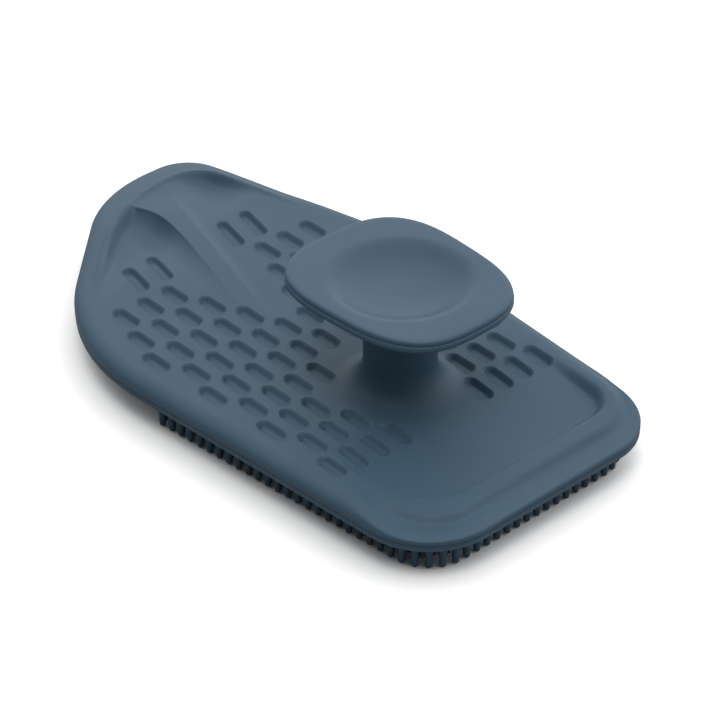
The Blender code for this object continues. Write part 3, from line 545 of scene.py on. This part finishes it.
class Shell:
    """Collects vertices, their smooth normals and faces, and makes an object of them."""

    def __init__(self):
        self.points = []
        self.normals = []
        self.faces = []

    def add(self, points, normals=None):
        """Add points; a missing normal is worked out from the faces later."""
        first = len(self.points)
        self.points.extend(tuple(float(v) for v in p) for p in points)
        if normals is None:
            self.normals.extend([None] * len(points))
        else:
            self.normals.extend(tuple(float(v) for v in n) for n in normals)
        return list(range(first, first + len(points)))

    def bridge(self, lower, upper):
        """Join two rings of the same count with a band of quads."""
        count = len(lower)
        for index in range(count):
            following = (index + 1) % count
            corners = (lower[index], lower[following], upper[following], upper[index])
            self.faces.append(corners)

    def stack(self, ring, rings):
        """Add rings of points, each bridged to the one before it, and give back the last."""
        for points in rings:
            following = self.add(points)
            self.bridge(ring, following)
            ring = following
        return ring

    def fill(self, outer, holes=(), extra=()):
        """Fill an outline with triangles, leave its convex holes open and use the extra points."""
        order, owner, edges = [], [], []
        for number, loop in enumerate([outer, *holes]):
            first = len(order)
            order.extend(loop)
            owner.extend([number] * len(loop))
            edges.extend((first + i, first + (i + 1) % len(loop)) for i in range(len(loop)))
        order.extend(extra)
        owner.extend([-1] * len(extra))
        flat = [Vector(self.points[index][:2]) for index in order]
        result = geometry.delaunay_2d_cdt(flat, edges, [], FILL_INSIDE, FILL_TOLERANCE)
        sources = [origin[0] for origin in result[3]]
        for triangle in result[2]:
            corners = [sources[index] for index in triangle]
            owners = {owner[corner] for corner in corners}
            if len(owners) == 1 and owners.pop() > 0:
                continue
            self.faces.append(tuple(order[corner] for corner in corners))

    def build(self, name):
        """Make a smooth-shaded object in metres, with its normals turned outward."""
        mesh = bpy.data.meshes.new(name)
        mesh.from_pydata([tuple(v * MM for v in p) for p in self.points], [], self.faces)
        bm = bmesh.new()
        bm.from_mesh(mesh)
        bmesh.ops.recalc_face_normals(bm, faces=bm.faces)
        bm.to_mesh(mesh)
        bm.free()
        mesh.shade_smooth()
        mesh.set_sharp_from_angle(angle=SHARP_ANGLE)
        piece = bpy.data.objects.new(name, mesh)
        bpy.context.scene.collection.objects.link(piece)
        return piece

    def use_normals(self, mesh):
        """Set the known normals on smooth vertices and keep Blender's own elsewhere."""
        loops = len(mesh.loops)
        own = np.empty(loops * 3, dtype=np.float32)
        mesh.corner_normals.foreach_get("vector", own)
        own = own.reshape(-1, 3)
        index = np.empty(loops, dtype=np.int32)
        mesh.loops.foreach_get("vertex_index", index)
        known = np.array([n is not None for n in self.normals])
        wanted = [n if n is not None else (0.0, 0.0, 0.0) for n in self.normals]
        wanted = np.array(wanted, dtype=np.float32)
        near = (own * wanted[index]).sum(axis=1) > NEAR_NORMAL
        use = known[index] & near
        own[use] = wanted[index][use]
        mesh.normals_split_custom_set([tuple(n) for n in own])


def at_level(flat, height):
    """Plan points raised to one level."""
    return np.column_stack((flat, np.full(len(flat), height)))


def on_deck(flat):
    """Plan points raised to the deck's surface."""
    return np.column_stack((flat, deck_height(flat[:, 0], flat[:, 1])))


def add_on_deck(shell, flat):
    """Add plan points on the deck's surface, with its normals."""
    return shell.add(on_deck(flat), deck_normals(flat[:, 0], flat[:, 1]))


def plate_rings(section):
    """The plate's outline at each inset and height of a section."""
    return [at_level(outline(PLATE, inset), height) for inset, height in section]


def unit_circle(count):
    """Plan points of a circle with radius 1."""
    angles = np.arange(count) * 2.0 * np.pi / count
    return np.column_stack((np.cos(angles), np.sin(angles)))


def stem_circle(radius, count):
    """Plan points of a circle round the stem's axis."""
    return np.array(STEM) + radius * unit_circle(count)


def stem_ring(radius, height):
    """A ring of the stem."""
    return at_level(stem_circle(radius, STEM_SIDES), height)


def staggered_row(row, y, columns, pitch, middle_x=0.0):
    """Plan points in one row of a grid whose odd rows are moved by half a pitch."""
    xs = middle_x + (np.arange(-columns, columns + 1) + 0.5 * (row % 2)) * pitch
    return np.column_stack((xs, np.full(len(xs), y)))


def stadium(place, inset):
    """A dimple's outline with round ends and evenly spaced straight sides."""
    centre, size, angle = place
    width = size[1] - 2.0 * inset
    reach = (size[0] - size[1]) / 2.0
    radius = width / 2.0
    points = []
    for side in (1.0, -1.0):
        for step in range(CAP_STEPS + 1):
            turn = (0.0 if side > 0 else math.pi) + (step / CAP_STEPS - 0.5) * math.pi
            points.append((side * reach + radius * math.cos(turn), radius * math.sin(turn)))
        start = points[-1]
        for step in range(1, STRAIGHT_STEPS):
            moved = 2.0 * side * reach * step / STRAIGHT_STEPS
            points.append((start[0] - moved, start[1]))
    points = np.array(points)
    cosine, sine = math.cos(angle), math.sin(angle)
    x = centre[0] + points[:, 0] * cosine - points[:, 1] * sine
    y = centre[1] + points[:, 0] * sine + points[:, 1] * cosine
    return np.column_stack((x, y))


def dimple_places():
    """Centre, size and turn of every dimple, with the narrow slots beside the spine last."""
    places = []
    for column, (first, last) in enumerate(DIMPLE_ROWS):
        x = FIRST_COLUMN_X - column * COLUMN_PITCH
        share = column / len(DIMPLE_ROWS)
        pitch = ROW_PITCH_AT_END + (ROW_PITCH_AT_NOSE - ROW_PITCH_AT_END) * share
        for row in range(first, last + 1, 2):
            for side in (1, -1) if row else (1,):
                place = ((x, side * row * pitch / 2.0), DIMPLE_SIZE, 0.0)
                rim = stadium(place, 0.0)
                off_edge = inside_distance(PLATE, rim[:, 0], rim[:, 1]).min()
                off_stem = np.hypot(rim[:, 0] - STEM[0], rim[:, 1] - STEM[1]).min()
                if off_edge > DIMPLE_OFF_EDGE and off_stem > DIMPLE_OFF_STEM:
                    places.append(place)
    for off in SLOT_OFFS:
        places.append(((SLOT_CENTRE[0], SLOT_CENTRE[1] + off), SLOT_SIZE, SLOT_ANGLE))
    return places


def add_dimple(shell, place, rim):
    """Sink one dimple inside its low lip, with a floor that follows the deck's slope."""
    width = place[1][1]
    section = [(-outward, rise) for outward, rise in DIMPLE_LIP]
    section += [(inset * DIMPLE_WALL_SHARE * width, -drop * DIMPLE_DEPTH)
                for inset, drop in DIMPLE_WALL]
    rings = []
    for inset, rise in section:
        ring = on_deck(stadium(place, inset))
        ring[:, 2] += rise
        rings.append(ring)
    shell.fill(shell.stack(rim, rings))


def free_grid(places):
    """Grid points and the spine's lines, as far as they are clear of dimples, edge and stem."""
    count = math.ceil(GRID_HALF_WIDTH / GRID_PITCH)
    grid = np.concatenate([
        staggered_row(row, row * GRID_PITCH * GRID_ROW_SHARE, GRID_COLUMNS, GRID_PITCH)
        for row in range(-count, count + 1)
    ])
    grid = grid[np.abs(grid[:, 0]) < PLATE_END_X]
    grid = np.concatenate((grid[off_spine_lines(grid[:, 0], grid[:, 1])], spine_lines()))
    x, y = grid[:, 0], grid[:, 1]
    free = inside_distance(PLATE, x, y) > INNER_INSETS[-1] + CLEAR_OF_EDGE * GRID_PITCH
    free &= np.hypot(x - STEM[0], y - STEM[1]) > FOOT_RADIUS + CLEAR_OF_STEM * GRID_PITCH
    for (centre_x, centre_y), size, angle in places:
        cosine, sine = math.cos(angle), math.sin(angle)
        along = (x - centre_x) * cosine + (y - centre_y) * sine
        across = (y - centre_y) * cosine - (x - centre_x) * sine
        beyond = np.maximum(np.abs(along) - (size[0] - size[1]) / 2.0, 0.0)
        clear = size[1] / 2.0 + DIMPLE_LIP_REACH + CLEAR_OF_DIMPLES * GRID_PITCH
        free &= np.hypot(beyond, across) > clear
    return grid[free]


def flare_height(radius):
    """Height of the stem's flare at a radius."""
    reach = STEM_RADIUS + STEM_FILLET - radius
    return DECK_TOP + STEM_FILLET - math.sqrt(STEM_FILLET ** 2 - reach ** 2)


def add_hollow(shell, bottom, mouth):
    """Close the deck's underside round the hollow for the hidden core, up to the sleeve's mouth."""
    core = outline(CORE_CORNERS, -CORE_CLEAR, CORE_ARC_STEP, CORE_SIDE_STEP)
    low = shell.add(at_level(core, SKIN_BOTTOM))
    high = shell.add(at_level(core, CORE_CEILING))
    shell.fill(bottom, [low])
    shell.bridge(low, high)
    well = shell.add(stem_ring(WELL_RADIUS, CORE_CEILING))
    shell.fill(high, [well])
    ceiling = [stem_ring(WELL_RADIUS, WELL_CEILING), stem_ring(BORE_RADIUS, WELL_CEILING)]
    shell.bridge(shell.stack(well, ceiling), mouth)


def build_deck():
    """The deck with its sleeve, dimples, nose, panel, flange and the hollow for the core."""
    shell = Shell()
    bottom = shell.add(at_level(outline(PLATE, SKIN_INSET), SKIN_BOTTOM))
    outer = [on_deck(outline(PLATE, inset)) for inset in OUTER_INSETS]
    ring = shell.stack(bottom, plate_rings(SKIN_EDGE) + outer)
    for inset in INNER_INSETS:
        following = add_on_deck(shell, outline(PLATE, inset))
        shell.bridge(ring, following)
        ring = following
    places = dimple_places()
    rims = [add_on_deck(shell, stadium(place, -DIMPLE_LIP_REACH)) for place in places]
    foot = add_on_deck(shell, stem_circle(FOOT_RADIUS, STEM_SIDES))
    shell.fill(ring, rims + [foot], add_on_deck(shell, free_grid(places)))
    for place, rim in zip(places, rims):
        add_dimple(shell, place, rim)
    sleeve = [stem_ring(radius, flare_height(radius)) for radius in FLARE_RADII]
    sleeve += [stem_ring(radius, height) for radius, height in SLEEVE_RINGS]
    add_hollow(shell, bottom, shell.stack(foot, sleeve))
    piece = shell.build("scrubber_deck")
    shell.use_normals(piece.data)
    return piece


def head_outline(inset):
    """Plan points of the knob's rounded square."""
    angles = np.arange(KNOB_SIDES) * 2.0 * np.pi / KNOB_SIDES
    power = 2.0 / KNOB_POWER
    cosine, sine = np.cos(angles), np.sin(angles)
    x = (KNOB_HALF_LENGTH - inset) * np.sign(cosine) * np.abs(cosine) ** power
    taper = 1.0 - KNOB_TAPER * x / KNOB_HALF_LENGTH
    y = (KNOB_HALF_WIDTH - inset) * np.sign(sine) * np.abs(sine) ** power * taper
    return np.column_stack((x + STEM[0], y + STEM[1]))


def blend_ring(share, radius, inset, height):
    """A ring between the knob's outline and a circle."""
    flat = head_outline(inset) * (1.0 - share) + stem_circle(radius, KNOB_SIDES) * share
    return at_level(flat, height)


def build_knob():
    """The knob: a rounded square with a soft thumb dish, a parting line and a collar."""
    rings = [at_level(stem_circle(radius, KNOB_SIDES), height) for radius, height in COLLAR_RINGS]
    rings += [blend_ring(*ring) for ring in UNDERSIDE_RINGS]
    rings += [at_level(head_outline(inset), height) for inset, height in SIDE_RINGS]
    rings += [blend_ring(*ring) for ring in RIM_RINGS]
    rings += [at_level(stem_circle(radius, KNOB_SIDES), HEAD_TOP - depth) for radius, depth in DISH]
    shell = Shell()
    socket = shell.add(rings[0])
    dish = shell.stack(socket, rings[1:])
    shell.fill(socket)
    shell.fill(dish)
    return shell.build("scrubber_knob")


def spread_along(points, pitch):
    """Places at one even pitch along a closed line of points."""
    closed = np.vstack((points, points[:1]))
    lengths = np.linalg.norm(np.diff(closed, axis=0), axis=1)
    total = lengths.sum()
    count = round(total / pitch)
    travelled = np.concatenate(((0.0,), np.cumsum(lengths)))
    stops = np.arange(count) * total / count
    return np.column_stack([np.interp(stops, travelled, closed[:, axis]) for axis in (0, 1)])


def bristle_places():
    """Bristle centres: one row round the field's edge and a staggered grid inside it."""
    ring = spread_along(outline(FIELD), EDGE_ROW_PITCH)
    inner = np.concatenate([
        staggered_row(row, row * FIELD_ROW_STEP, FIELD_COLUMNS, FIELD_PITCH, FIELD_MIDDLE_X)
        for row in range(-FIELD_ROWS, FIELD_ROWS + 1)
    ])
    keep = inside_distance(FIELD, inner[:, 0], inner[:, 1]) > FIELD_CLEAR
    return np.vstack((ring, inner[keep]))


def add_bristle(shell, place):
    """Grow one bristle down to its tip and give back its root ring."""
    circle = unit_circle(BRISTLE_SIDES)
    rings = [at_level(place + circle * radius, height) for radius, height in BRISTLE_SECTION]
    root = shell.add(rings[0])
    last = shell.stack(root, rings[1:])
    tip = shell.add([(place[0], place[1], 0.0)])[0]
    for index in range(BRISTLE_SIDES):
        shell.faces.append((last[index], last[(index + 1) % BRISTLE_SIDES], tip))
    return root


def build_bristles():
    """The bottom moulding: a thin mat with every bristle grown out of its underside."""
    shell = Shell()
    top = shell.add(at_level(outline(PLATE, MAT_INSET), MAT_TOP))
    shell.fill(top)
    ring = shell.stack(top, plate_rings(MAT_EDGE))
    shell.fill(ring, [add_bristle(shell, place) for place in bristle_places()])
    return shell.build("scrubber_bristles")


def set_inputs(made, values):
    """Set a shader node's inputs by name."""
    for name, value in values.items():
        made.inputs[name].default_value = value


def add_node(tree, kind, values):
    """Add a shader node with inputs set by name."""
    made = tree.nodes.new(kind)
    set_inputs(made, values)
    return made


def make_material(name, base, roughness):
    """Moulded silicone or plastic: soft colour mottle, fine satin grain and uneven gloss."""
    material = bpy.data.materials.new(name)
    material.use_nodes = True
    tree = material.node_tree
    shader = tree.nodes["Principled BSDF"]
    set_inputs(shader, SHEEN)
    place = tree.nodes.new("ShaderNodeTexCoord")
    broad = add_node(tree, "ShaderNodeTexNoise", MOTTLE_NOISE)
    fine = add_node(tree, "ShaderNodeTexNoise", GRAIN_NOISE)
    tree.links.new(place.outputs["Object"], broad.inputs["Vector"])
    tree.links.new(place.outputs["Object"], fine.inputs["Vector"])
    ramp = tree.nodes.new("ShaderNodeValToRGB")
    for stop, position, level in zip(ramp.color_ramp.elements, MOTTLE_STOPS, (-MOTTLE, MOTTLE)):
        stop.position = position
        stop.color = tuple(c * (1.0 + level) for c in base) + (1.0,)
    tree.links.new(broad.outputs["Fac"], ramp.inputs["Fac"])
    tree.links.new(ramp.outputs["Color"], shader.inputs["Base Color"])
    gloss_range = {"To Min": roughness - GLOSS_SPREAD, "To Max": roughness + GLOSS_SPREAD}
    gloss = add_node(tree, "ShaderNodeMapRange", gloss_range)
    tree.links.new(fine.outputs["Fac"], gloss.inputs["Value"])
    tree.links.new(gloss.outputs["Result"], shader.inputs["Roughness"])
    relief = add_node(tree, "ShaderNodeBump", GRAIN_RELIEF)
    tree.links.new(fine.outputs["Fac"], relief.inputs["Height"])
    tree.links.new(relief.outputs["Normal"], shader.inputs["Normal"])
    return material


def dress(piece, material, *nodes):
    """Give a piece its material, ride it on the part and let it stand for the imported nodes."""
    piece.data.materials.clear()
    piece.data.materials.append(material)
    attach(piece, "root")
    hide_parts(*nodes)


def add_camera():
    """The camera at the photograph's viewing angle."""
    right = Vector(CAMERA_RIGHT).normalized()
    up = Vector(CAMERA_UP).normalized()
    back = right.cross(up).normalized()
    up = back.cross(right)
    data = bpy.data.cameras.new("camera")
    data.lens = CAMERA_LENS
    data.sensor_width = CAMERA_SENSOR
    data.clip_start = CAMERA_NEAR_M
    data.clip_end = CAMERA_FAR_M
    camera = bpy.data.objects.new("camera", data)
    turn = Matrix((right, up, back)).transposed().to_4x4()
    camera.matrix_world = Matrix.Translation(CAMERA_PLACE_M) @ turn
    bpy.context.scene.collection.objects.link(camera)
    bpy.context.scene.camera = camera


def add_lamp(name, place, width, watts):
    """A square softbox that is aimed at the origin."""
    data = bpy.data.lights.new(name, "AREA")
    data.shape = "RECTANGLE"
    data.size = data.size_y = width
    data.energy = watts
    lamp = bpy.data.objects.new(name, data)
    lamp.location = place
    lamp.rotation_euler = (-Vector(place)).to_track_quat("-Z", "Y").to_euler()
    bpy.context.scene.collection.objects.link(lamp)


def mix_for_camera(tree, seen):
    """A mix that gives camera rays their own colour; the caller gives it the one that lights."""
    rays = tree.nodes.new("ShaderNodeLightPath")
    mix = tree.nodes.new("ShaderNodeMix")
    mix.data_type = "RGBA"
    mix.inputs[MIX_SEEN].default_value = seen
    tree.links.new(rays.outputs["Is Camera Ray"], mix.inputs[MIX_FACTOR])
    return mix


def add_floor():
    """A wide pale floor that shows as white and keeps the object's shadow."""
    bm = bmesh.new()
    bmesh.ops.create_circle(bm, cap_ends=True, segments=FLOOR_SIDES, radius=FLOOR_RADIUS_M)
    mesh = bpy.data.meshes.new("floor")
    bm.to_mesh(mesh)
    bm.free()
    floor = bpy.data.objects.new("floor", mesh)
    floor.location = (0.0, 0.0, FLOOR_LEVEL_M)
    bpy.context.scene.collection.objects.link(floor)
    material = bpy.data.materials.new("pale_floor")
    material.use_nodes = True
    tree = material.node_tree
    shader = tree.nodes["Principled BSDF"]
    set_inputs(shader, FLOOR_SURFACE)
    mix = mix_for_camera(tree, FLOOR_SEEN)
    mix.inputs[MIX_LIT].default_value = FLOOR_LIT
    tree.links.new(mix.outputs[MIX_RESULT], shader.inputs["Base Color"])
    mesh.materials.append(material)


def add_world():
    """A soft dome of light, full above and behind the object, that shows as white."""
    world = bpy.data.worlds.new("studio")
    bpy.context.scene.world = world
    world.use_nodes = True
    tree = world.node_tree
    back = tree.nodes["Background"]
    back.inputs["Strength"].default_value = 1.0
    place = tree.nodes.new("ShaderNodeTexCoord")
    toward = tree.nodes.new("ShaderNodeVectorMath")
    toward.operation = "DOT_PRODUCT"
    toward.inputs[1].default_value = DOME_TOWARD
    tree.links.new(place.outputs["Generated"], toward.inputs[0])
    dome = add_node(tree, "ShaderNodeMapRange", DOME_LIGHT)
    dome.interpolation_type = "SMOOTHSTEP"
    tree.links.new(toward.outputs["Value"], dome.inputs["Value"])
    mix = mix_for_camera(tree, DOME_SEEN)
    tree.links.new(dome.outputs["Result"], mix.inputs[MIX_LIT])
    tree.links.new(mix.outputs[MIX_RESULT], back.inputs["Color"])


silicone = make_material("satin_silicone", SILICONE_BASE, SILICONE_ROUGHNESS)
# The knob's material carries painted sheen in its slightly lighter base colour
knob_silicone = make_material("knob_silicone", KNOB_BASE, KNOB_ROUGHNESS)
nylon = make_material("natural_nylon", NYLON_BASE, NYLON_ROUGHNESS)
dress(build_deck(), silicone, "deck_skin")
dress(build_knob(), knob_silicone, "knob_head")
dress(build_bristles(), silicone, "bristle_mat")
for name in ("stiffener_plate", "handle_post"):
    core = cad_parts[name]
    core.data.materials.clear()
    core.data.materials.append(nylon)

add_camera()
add_floor()
add_world()
for lamp in LAMPS_M:
    add_lamp(*lamp)
bpy.context.scene.view_settings.view_transform = "Standard"
